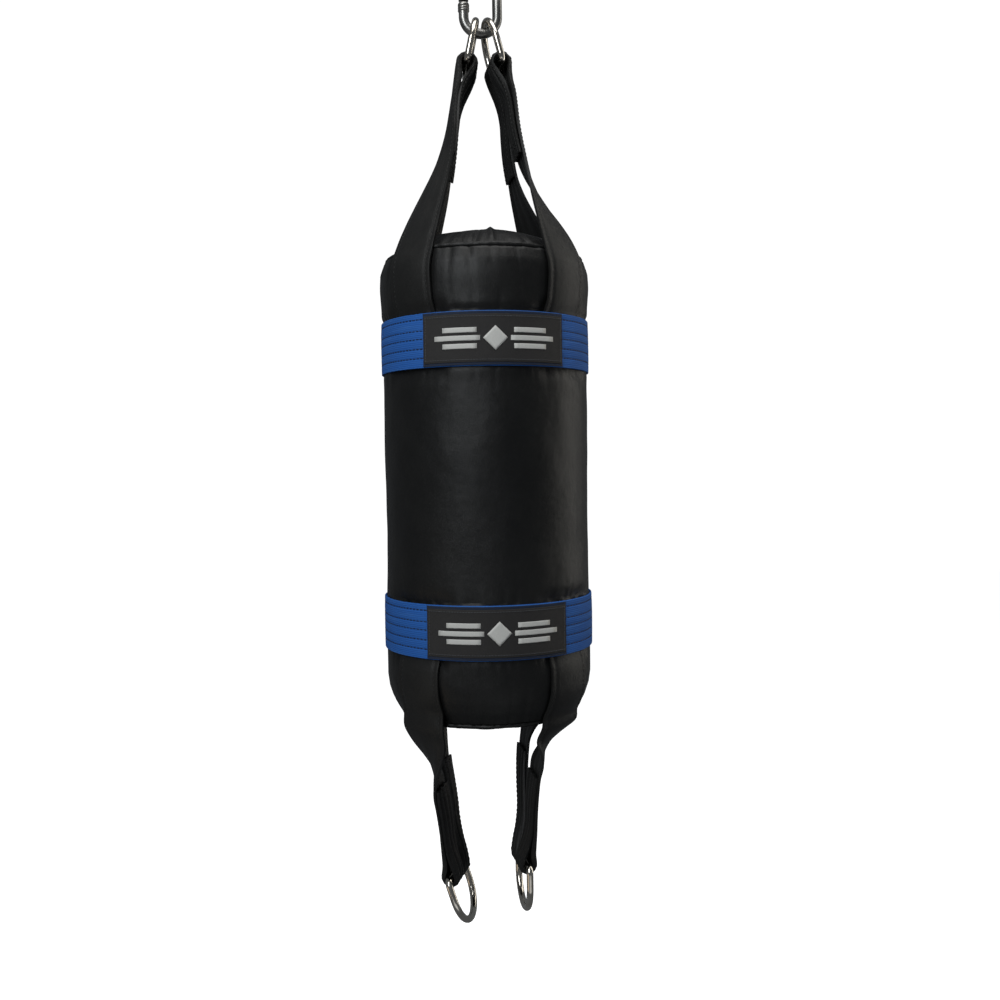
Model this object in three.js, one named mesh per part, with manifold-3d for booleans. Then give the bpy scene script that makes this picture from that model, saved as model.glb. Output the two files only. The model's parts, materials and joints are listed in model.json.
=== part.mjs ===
// A hanging punching bag: a stuffed vinyl cylinder, banded at both ends, on webbing straps, D-rings and a
// snap carabiner. Millimetres, +Z up, the origin where the carabiner's top bow rests on its hook.
import * as THREE from 'three';
import { mergeVertices } from 'three/addons/utils/BufferGeometryUtils.js';
import Module from 'manifold-3d';

const wasm = await Module();
wasm.setup();

const { Vector2, Vector3 } = THREE;
const RADIANS = Math.PI / 180;

// Bag: a nominal 8 inch by 18 inch body
const BAG_RADIUS = 102;
const TOP_SEAM_Z = -311;
const BOTTOM_SEAM_Z = -752;
const CROWN_TOP_Z = -279;
const CROWN_BOTTOM_Z = -767;
const SHELL_WALL = 2;
const WALL_GAP = 0.6;
const LINER_WALL = 16;
const PIPING_RADIUS = 2.4;
const CROWN_RIM = 7.6;
const TURN_STEPS = 32;

// Bands, straps and labels: 2 inch webbing
const WEBBING_WIDTH = 50.8;
const STRAP_THICKNESS = 2.5;
const PINCHED_RADIUS = 98.6;
const UPPER_BAND_Z = [-421, -370.2];
const LOWER_BAND_Z = [-691, -640.2];
const BAND_THICKNESS = 2.2;
const TOUCH_GAP = 0.5;
const LABEL_SIZE = [138, 44];
const LABEL_THICKNESS = 0.9;
const STRAP_BEARINGS = { front_left: 225, back_left: 135, front_right: 315, back_right: 45 };

// D-rings: 2 inch, of 7 mm wire
const RING_WIRE = 7;
const RING_WIDTH = 58;
const RING_HEIGHT = 48;
const RING_CORNER = 6;
const FOLD_LENGTH = 108;
const GATHERED_WIDTH = 22.5;
const SWAY_PLAY = 1.9;
const RING_PLAY = 0.5;
const FLEX_GAP = 8;

// Carabiner: 10 mm bar, 90 mm by 44 mm
const BAR = 10;
const LIMB_X = 17;
const TOP_BOW_Z = -12;
const BOTTOM_BOW_Z = -58;
const NOSE_RADIUS = 5.8;
const NOSE_Z = [-54, -43];
const PIN_Z = -17;
const PIN_RADIUS = 1.5;
const TENON_THICKNESS = 4;
const EAR_RADIUS = 4.6;
const GATE_END_Z = -42;
const GATE_BORE = 2.2;
const RUNNING_GAP = 0.4;
const BOW_GAP = 0.8;

const polar = (radius, degrees, z) =>
  new Vector3(radius * Math.cos(degrees * RADIANS), radius * Math.sin(degrees * RADIANS), z);
const steps = (count, make) => Array.from({ length: count + 1 }, (_, i) => make(i / count));
const ease = (t) => t * t * (3 - 2 * t);

// Finishes
const finish = (color, roughness, metalness) => new THREE.MeshStandardMaterial({ color, roughness, metalness });
const vinyl = finish(0x1b1c1b, 0.42, 0);
const strapVinyl = finish(0x222322, 0.5, 0);
const blueWebbing = finish(0x2a5796, 0.7, 0);
const labelCloth = finish(0x2b2b2d, 0.85, 0);
const foam = finish(0x5f6266, 0.9, 0);
const rags = finish(0x8a8378, 0.95, 0);
const nickel = finish(0xc9c6bd, 0.16, 1);
const steel = finish(0x8f8f8b, 0.32, 1);

const group = new THREE.Group();

function add(name, geometry, material) {
  const mesh = new THREE.Mesh(geometry, material);
  mesh.name = name;
  group.add(mesh);
  return mesh;
}

// A closed body through matching rings of points; an open run gets a cap of strips at each end.
function loft(sections, closed = false) {
  const count = sections[0].length;
  const index = [];
  const quad = (a, b, c, d) => index.push(a, b, c, a, c, d);
  const spans = closed ? sections.length : sections.length - 1;
  for (let i = 0; i < spans; i++) {
    const here = i * count;
    const next = ((i + 1) % sections.length) * count;
    for (let j = 0; j < count; j++) {
      const k = (j + 1) % count;
      quad(here + j, here + k, next + k, next + j);
    }
  }
  if (!closed) {
    const last = (sections.length - 1) * count;
    for (let j = 0; j < count / 2 - 1; j++) {
      quad(j, count - 1 - j, count - 2 - j, j + 1);
      quad(last + j, last + j + 1, last + count - 2 - j, last + count - 1 - j);
    }
  }
  const points = sections.flat();
  if (signedVolume(points, index) < 0) index.reverse();
  const geometry = new THREE.BufferGeometry();
  geometry.setAttribute('position', new THREE.Float32BufferAttribute(points.flatMap((p) => p.toArray()), 3));
  geometry.setIndex(index);
  return geometry;
}

function signedVolume(points, index) {
  let volume = 0;
  for (let i = 0; i < index.length; i += 3) {
    const [a, b, c] = [index[i], index[i + 1], index[i + 2]].map((n) => points[n]);
    volume += a.dot(new Vector3().crossVectors(b, c));
  }
  return volume;
}

function solid(geometry) {
  const bare = geometry.clone();
  bare.deleteAttribute('normal');
  bare.deleteAttribute('uv');
  const merged = mergeVertices(bare, 1e-4);
  return new wasm.Manifold(new wasm.Mesh({
    numProp: 3,
    vertProperties: new Float32Array(merged.attributes.position.array),
    triVerts: new Uint32Array(merged.index.array),
  }));
}

function surface(manifold) {
  const mesh = manifold.getMesh();
  const geometry = new THREE.BufferGeometry();
  geometry.setAttribute('position', new THREE.BufferAttribute(new Float32Array(mesh.vertProperties), 3));
  geometry.setIndex(new THREE.BufferAttribute(new Uint32Array(mesh.triVerts), 1));
  return geometry;
}

// A round section about a point, in the plane of two unit vectors.
function disc(center, sideways, upwards, radius, sides) {
  return Array.from({ length: sides }, (_, i) => {
    const angle = (2 * Math.PI * i) / sides;
    return center.clone()
      .addScaledVector(sideways, radius * Math.cos(angle))
      .addScaledVector(upwards, radius * Math.sin(angle));
  });
}

// A round wire bent in one plane, whose normal is given.
function wire(path, planeNormal, radius, sides, closed = false) {
  return loft(path.map((point, i) => {
    const before = path[closed ? (i + path.length - 1) % path.length : Math.max(i - 1, 0)];
    const after = path[closed ? (i + 1) % path.length : Math.min(i + 1, path.length - 1)];
    const along = after.clone().sub(before).normalize();
    return disc(point, new Vector3().crossVectors(along, planeNormal), planeNormal, radius, sides);
  }), closed);
}

// A body of revolution about the Z axis, from a closed outline of [radius, z] pairs.
function turned(outline, turnSteps = TURN_STEPS) {
  const ring = outline.map(([radius, z]) => new Vector2(radius, z));
  if (outline[0][0] > 0) ring.push(ring[0].clone());
  const geometry = new THREE.LatheGeometry(ring, turnSteps);
  geometry.rotateX(Math.PI / 2);
  const manifold = solid(geometry);
  return manifold.volume() > 0 ? surface(manifold) : surface(solid(flipped(geometry)));
}

function flipped(geometry) {
  const copy = geometry.clone();
  copy.setIndex([...copy.index.array].reverse());
  return copy;
}

const box = (x, y, z, at) => new THREE.BoxGeometry(x, y, z).translate(...at);
const rod = (radius, length, sides) => new THREE.CylinderGeometry(radius, radius, length, sides);

// ---- The stuffed body -------------------------------------------------------------------------------

// The skin's outer radius down the bag: full at the shoulders and drawn in under each band.
const SKIN = [
  [101, TOP_SEAM_Z], [104.6, -322], [105.2, -336], [103.8, -356],
  [PINCHED_RADIUS, -367], [PINCHED_RADIUS, -424],
  [101.8, -434], [BAG_RADIUS, -500], [101, -580], [101.6, -628],
  [PINCHED_RADIUS, -637], [PINCHED_RADIUS, -694],
  [102.2, -704], [102.2, -718], [100.4, -730], [96.5, -741], [90, BOTTOM_SEAM_Z],
];

function skinRadius(z) {
  const i = SKIN.findIndex((point, n) => n > 0 && point[1] <= z);
  const [[r0, z0], [r1, z1]] = [SKIN[i - 1], SKIN[i]];
  return r0 + ((r1 - r0) * (z - z0)) / (z1 - z0);
}

const inset = (outline, by) => outline.map(([radius, z]) => [radius - by, z]);

add('shell_side_panel', turned([...SKIN, ...inset(SKIN, SHELL_WALL).reverse()]), vinyl);

// The crowns are discs of vinyl, stretched over the filling and turned down to meet the piping.
function crown(name, seamZ, peakZ, seamRadius) {
  const way = Math.sign(peakZ - seamZ);
  const rimZ = seamZ + way * CROWN_RIM;
  const dome = (radius, offset) => [1, 0.96, 0.86, 0.7, 0.45, 0].map((share) => [
    radius * share,
    rimZ + (peakZ - rimZ) * (1 - share ** 2.2) ** 0.8 - way * offset,
  ]);
  const outer = dome(seamRadius, 0);
  const inner = dome(seamRadius - SHELL_WALL, SHELL_WALL);
  add(name, turned([...outer, ...inner.reverse()]), vinyl);
}
crown('shell_top_cap', TOP_SEAM_Z, CROWN_TOP_Z, 96);
crown('shell_bottom_cap', BOTTOM_SEAM_Z, CROWN_BOTTOM_Z, 85.5);

function piping(name, z, radius) {
  const outline = steps(5, (t) => [
    radius + PIPING_RADIUS * Math.cos(2 * Math.PI * t * 5 / 6),
    z + PIPING_RADIUS * Math.sin(2 * Math.PI * t * 5 / 6),
  ]);
  add(name, turned(outline), vinyl);
}
piping('top_seam_piping', TOP_SEAM_Z + PIPING_RADIUS + 0.3, 97);
piping('bottom_seam_piping', BOTTOM_SEAM_Z - PIPING_RADIUS - 0.3, 86.5);

// Inside: a sleeve of closed-cell foam round a packed core of textile offcuts.
const linerOuter = inset(SKIN, SHELL_WALL + WALL_GAP).slice(1, -1);
const linerInner = inset(SKIN, SHELL_WALL + WALL_GAP + LINER_WALL).slice(1, -1);
add('foam_liner', turned([...linerOuter, ...linerInner.reverse()]), foam);
const CORE_RADIUS = PINCHED_RADIUS - SHELL_WALL - LINER_WALL - 2 * WALL_GAP;
add('textile_filling', turned([
  [0, -286], [48, -291], [CORE_RADIUS, -304], [CORE_RADIUS, -732], [76, -741], [68, -750], [48, -757], [0, -761],
]), rags);

// ---- Bands and labels -------------------------------------------------------------------------------

const BAND_INNER = PINCHED_RADIUS + STRAP_THICKNESS + 2 * TOUCH_GAP;
const BAND_OUTER = BAND_INNER + BAND_THICKNESS;
for (const [name, [low, high]] of Object.entries({ upper_band: UPPER_BAND_Z, lower_band: LOWER_BAND_Z })) {
  add(name, turned([[BAND_INNER, low], [BAND_OUTER, low], [BAND_OUTER, high], [BAND_INNER, high]], 48), blueWebbing);
}

function label(name, [low, high]) {
  const inner = BAND_OUTER + 0.3;
  const reach = LABEL_SIZE[0] / inner / RADIANS / 2;
  const middle = (low + high) / 2;
  const [bottom, top] = [middle - LABEL_SIZE[1] / 2, middle + LABEL_SIZE[1] / 2];
  add(name, loft(steps(16, (t) => {
    const bearing = 270 + reach * (2 * t - 1);
    return [
      polar(inner, bearing, bottom), polar(inner + LABEL_THICKNESS, bearing, bottom),
      polar(inner + LABEL_THICKNESS, bearing, top), polar(inner, bearing, top),
    ];
  })), labelCloth);
}
label('upper_label', UPPER_BAND_Z);
label('lower_label', LOWER_BAND_Z);

// ---- D-rings ----------------------------------------------------------------------------------------

// A ring's frame: where its straight bar lies, which way the bar runs, and which way the bow points.
function ringFrame(bar, lean, yaw, bowUp) {
  const turn = new THREE.Euler(0, lean * RADIANS, yaw * RADIANS, 'ZYX');
  const along = new Vector3(0, 1, 0).applyEuler(turn);
  const towardsBow = new Vector3(0, 0, bowUp ? 1 : -1).applyEuler(turn);
  return { bar, along, towardsBow };
}

function dRing(name, { bar, along, towardsBow }) {
  const half = RING_WIDTH / 2;
  const arcBase = RING_HEIGHT - half;
  const flat = [
    ...steps(2, (t) => [-half + RING_CORNER + t * (RING_WIDTH - 2 * RING_CORNER), 0]),
    ...steps(3, (t) => {
      const angle = (t - 1) * Math.PI / 2;
      return [half - RING_CORNER + RING_CORNER * Math.cos(angle), RING_CORNER + RING_CORNER * Math.sin(angle)];
    }).slice(1),
    ...steps(12, (t) => [half * Math.cos(t * Math.PI), arcBase + half * Math.sin(t * Math.PI)]),
    ...steps(3, (t) => {
      const angle = Math.PI + t * Math.PI / 2;
      return [-half + RING_CORNER + RING_CORNER * Math.cos(angle), RING_CORNER + RING_CORNER * Math.sin(angle)];
    }).slice(0, -1),
  ];
  const path = flat.map(([across, up]) =>
    bar.clone().addScaledVector(along, across).addScaledVector(towardsBow, up));
  const planeNormal = new Vector3().crossVectors(along, towardsBow);
  add(name, wire(path, planeNormal, RING_WIRE / 2, 8, true), nickel);
}

// The upper rings hang side by side on the carabiner's bottom bow, each square to the bow's bar.
const REST_OFFSET = 7;
function upperRing(side, lean, yaw) {
  const drop = Math.sqrt(LIMB_X ** 2 - REST_OFFSET ** 2);
  const onBow = new Vector3(side * REST_OFFSET, 0, BOTTOM_BOW_Z - drop);
  const frame = ringFrame(new Vector3(), -side * lean, yaw, true);
  const above = (BAR + RING_WIRE) / 2 + BOW_GAP;
  frame.bar = onBow.addScaledVector(frame.towardsBow, above - RING_HEIGHT);
  return frame;
}
const RINGS = {
  upper_left: upperRing(-1, 12, 0),
  upper_right: upperRing(1, 15, 5),
  lower_left: ringFrame(new Vector3(-37, 0, -921), -19, -17, false),
  lower_right: ringFrame(new Vector3(32.5, 0, -911), 0, 6, false),
};
for (const [name, frame] of Object.entries(RINGS)) dRing(`${name}_d_ring`, frame);

// ---- Straps -----------------------------------------------------------------------------------------

// Webbing across its width, curved with the bag where bend is above 0. The first row is the outer face.
function webbing({ center, across, normal, width, bend }) {
  const row = (offset) => steps(3, (t) => {
    const reach = width * (t - 0.5);
    return center.clone()
      .addScaledVector(across, reach)
      .addScaledVector(normal, offset - bend * reach * reach / 2);
  });
  return [...row(STRAP_THICKNESS / 2), ...row(-STRAP_THICKNESS / 2).reverse()];
}

const onBag = (bearing, z, radius) => ({
  center: polar(radius, bearing, z),
  across: polar(1, bearing + 90, 0),
  normal: polar(1, bearing, 0),
  width: WEBBING_WIDTH,
  bend: 1 / radius,
});

// A leg runs from a place on the bag to a ring, round the ring's bar, and back down its own inner face.
function leg(start, { bar, along }, slot, play, { sag, drop, twist }) {
  const sign = Math.sign(start.across.dot(along));
  const across = along.clone().multiplyScalar(sign);
  const pivot = bar.clone().addScaledVector(along, slot * (GATHERED_WIDTH / 2 + 0.75));
  const away = start.center.clone().sub(pivot);
  away.addScaledVector(across, -away.dot(across)).normalize();
  const out = new Vector3().crossVectors(across, away);
  if (out.dot(start.normal) < 0) out.negate();
  const loopRadius = RING_WIRE / 2 + play + STRAP_THICKNESS / 2;
  const arrive = pivot.clone().addScaledVector(out, loopRadius);
  const length = arrive.distanceTo(start.center);
  // The straight pull from the bag is drawn in at first by the drop, and hangs slack towards the axis by the sag.
  const level = new Vector3(arrive.x - start.center.x, 0, 0);
  const at = (t) => {
    const turned = start.across.clone().lerp(across, ease(Math.min(1, t / twist))).normalize();
    const normal = start.normal.clone().lerp(out, ease(t));
    normal.addScaledVector(turned, -normal.dot(turned)).normalize();
    return {
      center: start.center.clone().lerp(arrive, t)
        .addScaledVector(level, 1 - t - (1 - t) ** drop)
        .addScaledVector(normal, -sag * Math.sin(Math.PI * t) ** 1.6),
      across: turned,
      normal,
      width: THREE.MathUtils.lerp(WEBBING_WIDTH, GATHERED_WIDTH, t),
      bend: start.bend * (1 - t) ** 2,
    };
  };
  const outer = steps(8, (t) => at(t)).slice(1);
  const loop = steps(4, (t) => {
    const normal = out.clone().multiplyScalar(Math.cos(t * Math.PI)).addScaledVector(away, -Math.sin(t * Math.PI));
    return { center: pivot.clone().addScaledVector(normal, loopRadius), across, normal, width: GATHERED_WIDTH, bend: 0 };
  }).slice(1);
  const inner = steps(8, (t) => {
    const place = at(1 - (t * FOLD_LENGTH) / length);
    const spread = THREE.MathUtils.lerp(2 * loopRadius, STRAP_THICKNESS + TOUCH_GAP, ease(Math.min(1, 2.2 * t)));
    return {
      ...place,
      center: place.center.addScaledVector(place.normal, -spread),
      normal: place.normal.clone().negate(),
      bend: -place.bend,
    };
  }).slice(1);
  return [...outer, ...loop, ...inner];
}

// How each leg hangs: its sag, how soon it draws in, and over how much of its length it turns to its ring.
const UPPER_HANG = { left: { sag: 9, drop: 1, twist: 1 }, right: { sag: 13, drop: 1, twist: 0.58 } };
const LOWER_HANG = { left: { sag: 0, drop: 2.2, twist: 0.45 }, right: { sag: 0, drop: 5.5, twist: 0.25 } };

// The left tie-down legs stand clear of the skin where it rounds under; the right ones follow it.
const LOWER_HOLD = { left: 96, right: 0 };

const strapSeat = (z, hold = 0) => Math.max(skinRadius(z), hold) + TOUCH_GAP + STRAP_THICKNESS / 2;

for (const [place, bearing] of Object.entries(STRAP_BEARINGS)) {
  const side = place.split('_')[1];
  const slot = place.startsWith('front') ? -1 : 1;

  const upperSeat = [-417, -394, -370.2, -356, -336, -322, -312].map((z) => onBag(bearing, z, strapSeat(z)));
  const upperLeg = leg(upperSeat.at(-1), RINGS[`upper_${side}`], slot, SWAY_PLAY, UPPER_HANG[side]);
  add(`upper_strap_${place}`, loft([...upperSeat, ...upperLeg].map(webbing)), strapVinyl);

  const lowerSeat = [-644, -668, -692, -704, -718, -730, -741, -750.5]
    .map((z) => onBag(bearing, z, strapSeat(z, LOWER_HOLD[side])));
  add(`lower_strap_root_${place}`, loft(lowerSeat.map(webbing)), strapVinyl);

  const hinge = onBag(bearing, BOTTOM_SEAM_Z - FLEX_GAP, strapSeat(-750.5, LOWER_HOLD[side]));
  const lowerLeg = leg(hinge, RINGS[`lower_${side}`], slot, RING_PLAY, LOWER_HANG[side]);
  add(`lower_strap_${place}`, loft([hinge, ...lowerLeg].map(webbing)), strapVinyl);
}

// ---- Carabiner --------------------------------------------------------------------------------------

const bow = (centerZ, from, to, count) => steps(count, (t) => {
  const angle = (from + (to - from) * t) * RADIANS;
  return new Vector3(LIMB_X * Math.cos(angle), 0, centerZ + LIMB_X * Math.sin(angle));
});
const barPath = [
  new Vector3(-LIMB_X, 0, NOSE_Z[0] + 3),
  ...bow(BOTTOM_BOW_Z, 180, 360, 12),
  ...bow(TOP_BOW_Z, 0, 180, 12),
];
const bar = solid(wire(barPath, new Vector3(0, 1, 0), BAR / 2, 12));

// The nose is a turned button with two grooves and a domed end, on which the gate closes.
const groove = 0.7;
const nose = solid(turned([
  [0, NOSE_Z[0]], [BAR / 2, NOSE_Z[0]], [NOSE_RADIUS, NOSE_Z[0] + 1], [NOSE_RADIUS, NOSE_Z[0] + 2.4],
  [NOSE_RADIUS - groove, NOSE_Z[0] + 2.9], [NOSE_RADIUS, NOSE_Z[0] + 3.4], [NOSE_RADIUS, NOSE_Z[0] + 5],
  [NOSE_RADIUS - groove, NOSE_Z[0] + 5.5], [NOSE_RADIUS, NOSE_Z[0] + 6], [NOSE_RADIUS, NOSE_Z[1] - 2.6],
  [NOSE_RADIUS * 0.75, NOSE_Z[1] - 0.8], [0, NOSE_Z[1]],
], 16).translate(-LIMB_X, 0, 0));

// A flat tenon carries the gate's rivet below the end of the bar.
const eye = rod(EAR_RADIUS - 0.4, TENON_THICKNESS, 20).translate(-LIMB_X, 0, PIN_Z);
const neck = box(2 * EAR_RADIUS - 0.8, TENON_THICKNESS, 8, [-LIMB_X, 0, PIN_Z + 4]);
const rivetHole = solid(rod(PIN_RADIUS + 0.3, 3 * BAR, 12).translate(-LIMB_X, 0, PIN_Z));
add('carabiner_body', surface(bar.add(nose).add(solid(neck)).add(solid(eye)).subtract(rivetHole)), steel);

// The gate: a round rod, forked over the tenon and bored for its spring and plunger.
const forkRootZ = PIN_Z - EAR_RADIUS - RUNNING_GAP;
const gateRod = solid(rod(BAR / 2, PIN_Z - GATE_END_Z, 16)
  .rotateX(Math.PI / 2).translate(-LIMB_X, 0, (PIN_Z + GATE_END_Z) / 2));
const gateEye = solid(rod(EAR_RADIUS, BAR, 20).translate(-LIMB_X, 0, PIN_Z));
const forkSlot = solid(box(2 * BAR, TENON_THICKNESS + 2 * RUNNING_GAP, BAR + 2 * EAR_RADIUS,
  [-LIMB_X, 0, forkRootZ + BAR / 2 + EAR_RADIUS]));
const springBore = solid(rod(GATE_BORE, 16, 12).rotateX(Math.PI / 2).translate(-LIMB_X, 0, forkRootZ - 7));
const gateBlank = gateRod.intersect(solid(box(2 * BAR, 2 * BAR, 2 * BAR + 30, [-LIMB_X, 0, PIN_Z - 24.5])));
add('carabiner_gate', surface(gateBlank.add(gateEye).subtract(forkSlot).subtract(rivetHole).subtract(springBore)), steel);

const rivetHalf = BAR / 2 + RUNNING_GAP;
const head = 1;
const rivetOutline = [
  [0, -rivetHalf - head], [2 * PIN_RADIUS, -rivetHalf - head], [2 * PIN_RADIUS, -rivetHalf], [PIN_RADIUS, -rivetHalf],
  [PIN_RADIUS, rivetHalf], [2 * PIN_RADIUS, rivetHalf], [2 * PIN_RADIUS, rivetHalf + head], [0, rivetHalf + head],
];
add('gate_rivet', turned(rivetOutline, 12).rotateX(Math.PI / 2).translate(-LIMB_X, 0, PIN_Z), steel);

const plungerTop = forkRootZ - 0.4;
const plungerLength = 4;
add('gate_plunger', rod(GATE_BORE - 0.3, plungerLength, 10).rotateX(Math.PI / 2)
  .translate(-LIMB_X, 0, plungerTop - plungerLength / 2), steel);

const SPRING_TURNS = 4;
const springTop = plungerTop - plungerLength - 0.8;
const springLength = 7.5;
add('gate_spring', loft(steps(10 * SPRING_TURNS, (t) => {
  const angle = 2 * Math.PI * SPRING_TURNS * t;
  const outward = new Vector3(Math.cos(angle), Math.sin(angle), 0);
  const center = new Vector3(-LIMB_X, 0, springTop - springLength * t).addScaledVector(outward, 1.4);
  return disc(center, outward, new Vector3(0, 0, 1), 0.35, 6);
})), steel);

export default group;
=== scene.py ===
"""A hanging punching bag: a stuffed vinyl skin, blue webbing bands, covered legs, D-rings and a carabiner.

Metres, +Z up, the front towards -Y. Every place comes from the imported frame.
"""

import json
import math

import bmesh
import bpy
import numpy as np
from mathutils import Matrix, Vector, noise


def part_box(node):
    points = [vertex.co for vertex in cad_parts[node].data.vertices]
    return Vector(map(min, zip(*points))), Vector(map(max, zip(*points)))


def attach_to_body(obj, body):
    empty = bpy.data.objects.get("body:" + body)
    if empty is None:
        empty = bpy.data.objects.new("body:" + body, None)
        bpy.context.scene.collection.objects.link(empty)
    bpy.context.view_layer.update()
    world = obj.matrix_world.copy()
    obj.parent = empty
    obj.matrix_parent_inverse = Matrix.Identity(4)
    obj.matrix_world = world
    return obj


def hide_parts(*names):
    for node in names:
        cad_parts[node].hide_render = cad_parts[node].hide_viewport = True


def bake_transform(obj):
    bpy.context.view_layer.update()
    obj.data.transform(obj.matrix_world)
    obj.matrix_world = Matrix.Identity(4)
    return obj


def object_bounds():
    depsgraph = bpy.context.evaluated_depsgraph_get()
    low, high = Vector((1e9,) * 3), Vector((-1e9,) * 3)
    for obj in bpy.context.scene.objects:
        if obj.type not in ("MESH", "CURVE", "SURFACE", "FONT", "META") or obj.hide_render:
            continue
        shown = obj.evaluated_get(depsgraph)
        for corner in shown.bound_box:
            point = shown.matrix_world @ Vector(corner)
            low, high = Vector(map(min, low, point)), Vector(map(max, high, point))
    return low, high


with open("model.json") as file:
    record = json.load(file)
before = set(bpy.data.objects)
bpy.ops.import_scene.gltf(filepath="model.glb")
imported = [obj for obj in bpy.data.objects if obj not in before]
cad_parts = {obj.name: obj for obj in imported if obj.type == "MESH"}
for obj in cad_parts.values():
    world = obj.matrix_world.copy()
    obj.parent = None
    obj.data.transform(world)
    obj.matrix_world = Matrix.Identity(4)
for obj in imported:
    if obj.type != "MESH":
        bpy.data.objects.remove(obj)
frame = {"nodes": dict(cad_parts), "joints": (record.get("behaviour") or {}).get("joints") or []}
cad_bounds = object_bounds()

MM = 0.001
JOINTS = {joint["name"]: joint for joint in frame["joints"]}
UP = Vector((0, 0, 1))

# Webbing and thread
STRAP_THICKNESS = 2.4 * MM
STRAP_WIDTH = 50.8 * MM
HEM = 4.5 * MM
STITCH_PITCH = 4.6 * MM
STITCH_LENGTH = 3.3 * MM
THREAD = 0.45 * MM
BAND_CLOTH = 2.0 * MM
PATCH_WIDTH = 138 * MM
PATCH_CLOTH = 1.0 * MM
TAPE_HEIGHT = 49 * MM
STRAP_BEARINGS = {"front_left": 225, "back_left": 135, "front_right": 315, "back_right": 45}


# ---- Camera ------------------------------------------------------------------------------------------

HORIZON = Vector((0, 0, -0.5096))
CAMERA_DISTANCE = 1.036
CAMERA_BEARING = math.radians(3.4)
CAMERA_TURN = math.radians(0.75)
CAMERA_ROLL = math.radians(0.8)
LENS = 36.8
SHIFT_Y = -0.0374


def make_camera():
    data = bpy.data.cameras.new("camera")
    data.sensor_width = 36
    data.lens = LENS
    data.shift_y = SHIFT_Y
    camera = bpy.data.objects.new("camera", data)
    bpy.context.collection.objects.link(camera)
    back = Vector((-math.sin(CAMERA_BEARING), -math.cos(CAMERA_BEARING), 0))
    camera.location = HORIZON + back * CAMERA_DISTANCE
    heading = CAMERA_BEARING + CAMERA_TURN
    look = Matrix.Rotation(-heading, 4, "Z") @ Matrix.Rotation(math.pi / 2, 4, "X")
    camera.rotation_euler = (look @ Matrix.Rotation(-CAMERA_ROLL, 4, "Z")).to_euler()
    bpy.context.scene.camera = camera


# ---- Shader maths ------------------------------------------------------------------------------------


class Value:
    """A socket whose arithmetic adds Math nodes to its finish."""

    def __init__(self, finish, socket):
        self.finish = finish
        self.socket = socket

    def math(self, operation, *values):
        return self.finish.node("ShaderNodeMath", {"operation": operation}, dict(enumerate(values)))

    def __add__(self, other):
        return self.math("ADD", self, other)

    __radd__ = __add__

    def __sub__(self, other):
        return self.math("SUBTRACT", self, other)

    def __rsub__(self, other):
        return self.math("SUBTRACT", other, self)

    def __mul__(self, other):
        return self.math("MULTIPLY", self, other)

    __rmul__ = __mul__

    def __abs__(self):
        return self.math("ABSOLUTE", self)

    def sine(self):
        return self.math("SINE", self)

    def above(self, level):
        return self.math("GREATER_THAN", self, level)

    def step(self, low, high):
        """0 below low and 1 above high, smooth between."""
        settings = {"interpolation_type": "SMOOTHSTEP"}
        inputs = {"Value": self, "From Min": low, "From Max": high}
        return self.finish.node("ShaderNodeMapRange", settings, inputs)


class Finish:
    """One material: a Principled shader with the maths that feeds it."""

    def __init__(self, name, roughness=0.5, metallic=0.0, specular=0.5):
        self.material = bpy.data.materials.new(name)
        self.material.use_nodes = True
        self.tree = self.material.node_tree
        self.shader = self.tree.nodes["Principled BSDF"]
        fixed = {"Roughness": roughness, "Metallic": metallic, "Specular IOR Level": specular}
        for socket, value in fixed.items():
            self.shader.inputs[socket].default_value = value

    def node(self, kind, settings, inputs, output=0):
        made = self.tree.nodes.new(kind)
        for name, value in settings.items():
            if name == "stops":
                self.set_stops(made, value)
            else:
                setattr(made, name, value)
        for name, value in inputs.items():
            if isinstance(value, Value):
                self.tree.links.new(value.socket, made.inputs[name])
            else:
                made.inputs[name].default_value = value
        return Value(self, made.outputs[output])

    def set_stops(self, ramp, stops):
        elements = ramp.color_ramp.elements
        while len(elements) < len(stops):
            elements.new(1)
        for element, (place, color) in zip(elements, stops):
            element.position = place
            element.color = (*color, 1)

    def place(self, space="Object"):
        return self.node("ShaderNodeTexCoord", {}, {}, space)

    def stretched(self, place, scale):
        return self.node("ShaderNodeMapping", {}, {"Vector": place, "Scale": scale})

    def part(self, vector, axis):
        return self.node("ShaderNodeSeparateXYZ", {}, {"Vector": vector}, axis)

    def noise(self, place, scale, detail=3.0, roughness=0.55):
        return self.node("ShaderNodeTexNoise", {}, {
            "Vector": place, "Scale": scale, "Detail": detail, "Roughness": roughness,
        })

    def cells(self, place, scale, feature="DISTANCE_TO_EDGE"):
        return self.node("ShaderNodeTexVoronoi", {"feature": feature}, {"Vector": place, "Scale": scale})

    def blend(self, factor, low, high):
        """From the low colour to the high one; the low one may come from another node."""
        start = low if isinstance(low, Value) else (*low, 1)
        return self.node("ShaderNodeMix", {"data_type": "RGBA"}, {0: factor, 6: start, 7: (*high, 1)}, 2)

    def set(self, **links):
        for name, value in links.items():
            self.tree.links.new(value.socket, self.shader.inputs[name.replace("_", " ")])

    def bump(self, *layers):
        """Each layer is a height and the depth in metres that it stands for."""
        normal = None
        for height, depth in layers:
            inputs = {"Height": height, "Distance": depth, "Strength": 1.0}
            if normal:
                inputs["Normal"] = normal
            normal = self.node("ShaderNodeBump", {}, inputs)
        self.set(Normal=normal)


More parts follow.
